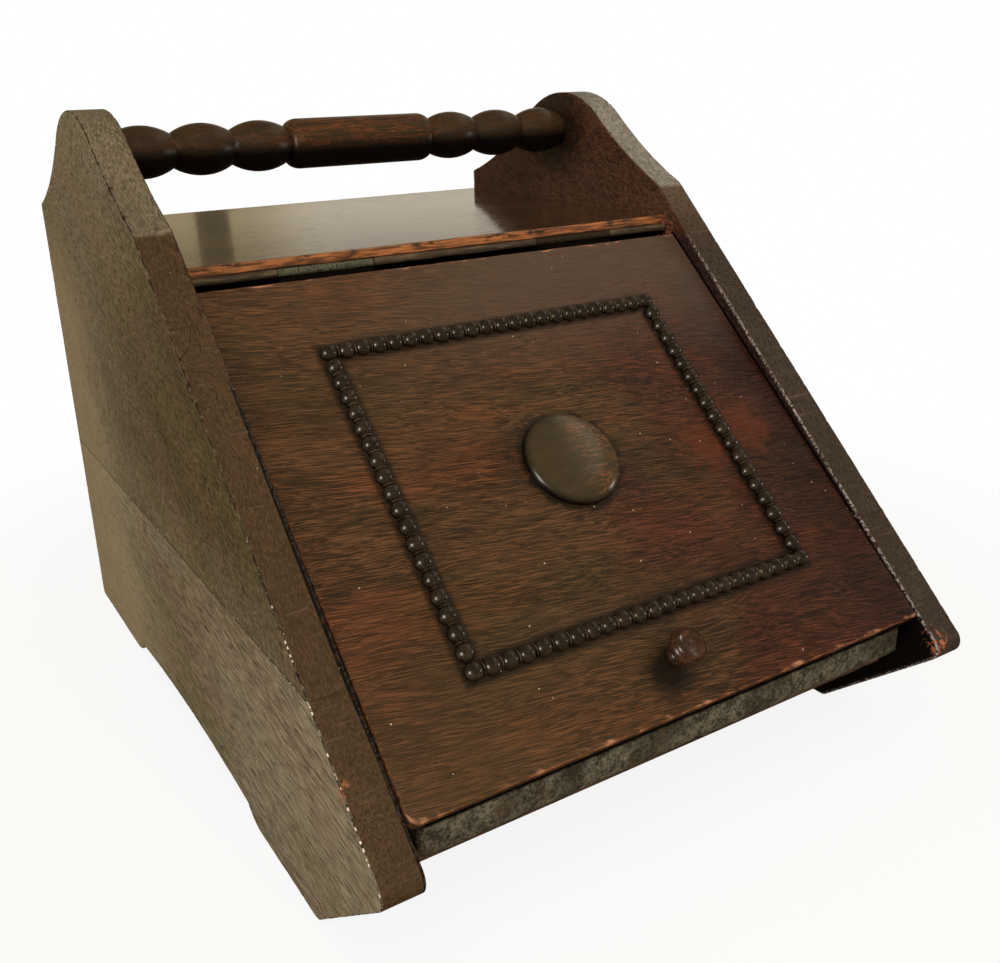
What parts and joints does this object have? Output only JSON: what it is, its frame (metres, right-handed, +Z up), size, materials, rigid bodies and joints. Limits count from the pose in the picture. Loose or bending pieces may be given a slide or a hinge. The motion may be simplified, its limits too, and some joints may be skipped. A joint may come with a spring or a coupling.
{
  "type": "coal scuttle",
  "caption": "Slope-fronted wooden coal scuttle: shaped cheeks joined by a turned carry handle, hinged beaded lid with a knob, sheet-metal liner.",
  "frame": {"origin": "on the floor under the middle of the box", "axes": "+Z up; the sloping lid and the toes of the cheeks face -Y; +X to the viewer's right when looking at the lid"},
  "size_m": [0.36, 0.472, 0.3515],
  "materials": {
    "case_wood": "worn dark satin, olive brown outside and redder inside",
    "lid_wood": "semi-gloss red-brown stain over dark streaks",
    "turned_wood": "glossy near-black stain",
    "old_brass": "dull, with pale green tarnish",
    "old_steel": "dull, darkened",
    "galvanised_sheet": "mottled old zinc, sooty near its edge"
  },
  "bodies": {
    "box": {"left_cheek_upper_board": "case_wood", "left_cheek_lower_board": "case_wood", "right_cheek_upper_board": "case_wood", "right_cheek_lower_board": "case_wood", "top_board": "case_wood", "back_board_upper": "case_wood", "back_board_lower": "case_wood", "floor_board": "case_wood", "front_rail": "case_wood", "left_lid_stop": "case_wood", "right_lid_stop": "case_wood", "carry_handle": "turned_wood", "hinge_bead_left": "case_wood", "hinge_bead_centre": "case_wood", "hinge_bead_right": "case_wood", "left_hinge_board_leaf": "old_brass", "left_hinge_pin": "old_brass", "right_hinge_board_leaf": "old_brass", "right_hinge_pin": "old_brass", "board_hinge_screws": "old_brass", "cheek_screws": "old_steel", "cheek_pellets": "case_wood", "back_nails": "old_steel", "liner": "galvanised_sheet"},
    "lid": {"lid": "lid_wood", "beading_top": "turned_wood", "beading_bottom": "turned_wood", "beading_left": "turned_wood", "beading_right": "turned_wood", "lid_boss": "turned_wood", "lid_knob": "turned_wood", "knob_screw": "old_steel", "left_hinge_lid_leaf": "old_brass", "right_hinge_lid_leaf": "old_brass", "lid_hinge_screws": "old_brass"}
  },
  "joints": [
    {"name": "lid_hinge", "type": "hinge", "parent": "box", "child": "lid", "pos_m": [0, 0.00018, 0.2688], "axis": [-1, 0, 0], "range_deg": [0, 140]}
  ]
}
